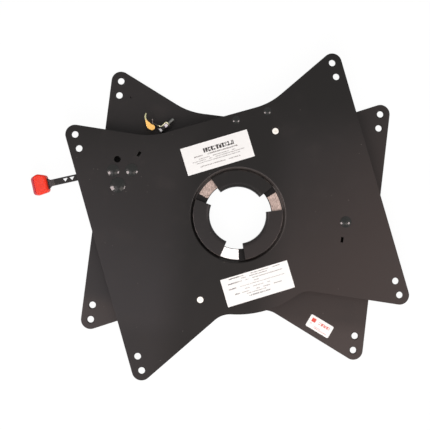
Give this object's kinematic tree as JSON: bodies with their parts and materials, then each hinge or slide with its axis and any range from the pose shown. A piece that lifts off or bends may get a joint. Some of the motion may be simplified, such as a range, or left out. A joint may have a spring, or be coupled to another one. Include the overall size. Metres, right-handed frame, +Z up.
{
  "type": "swivel seat base",
  "caption": "Swivel base for a vehicle seat: two waisted steel plates turning on a rolled collar, with a cable opening, lock ring and side release lever.",
  "frame": {"origin": "turning axis, at the underside of the lower plate", "axes": "+Z up along the turning axis, +X and +Y along the bolt rows of the lower plate, the lever on the -X side"},
  "size_m": [0.5892, 0.5244, 0.0392],
  "materials": {
    "black_paint": "semi-matt powder coat",
    "black_steel": "semi-matt",
    "rivet_black": "gloss",
    "bright_zinc": "bright zinc plate",
    "yellow_zinc": "yellow zinc plate",
    "spring_steel": "drawn wire",
    "bearing_plastic": "smooth",
    "glide_nylon": "smooth",
    "black_rubber": "matt",
    "red_grip": "satin"
  },
  "bodies": {
    "base": {"base_plate": "black_paint", "bearing_ring": "bearing_plastic", "lock_ring": "black_steel", "lock_ring_rivets": "bright_zinc", "catch_bracket": "black_steel", "catch_hook": "yellow_zinc", "hook_post": "yellow_zinc", "catch_spring": "spring_steel", "adjuster_bolt": "bright_zinc", "adjuster_nut": "bright_zinc", "adjuster_bush": "black_rubber"},
    "top": {"top_plate": "black_paint", "lever_pivot": "rivet_black", "pivot_spacer": "bright_zinc", "pivot_washer": "bright_zinc", "guide_rivet": "rivet_black", "guide_bracket": "black_steel", "spring_post": "rivet_black", "return_spring": "spring_steel", "stop_rivet": "rivet_black", "stop_bracket": "black_steel", "hole_plugs": "rivet_black", "glide_post_left": "glide_nylon", "glide_post_right": "glide_nylon", "glide_screws": "bright_zinc"},
    "lever": {"release_lever": "black_steel", "lever_grip": "red_grip"}
  },
  "joints": [
    {"name": "swivel", "type": "hinge", "parent": "base", "child": "top", "pos_m": [0, 0, 0.03], "axis": [0, 0, 1], "continuous": true},
    {"name": "lever", "type": "hinge", "parent": "top", "child": "lever", "pos_m": [-0.1944, 0.04345, 0.027], "axis": [0, 0, 1], "range_deg": [0, 8], "stiffness_Nm_per_rad": 3, "springref_deg": -20.05, "deforming": ["return_spring"]}
  ]
}
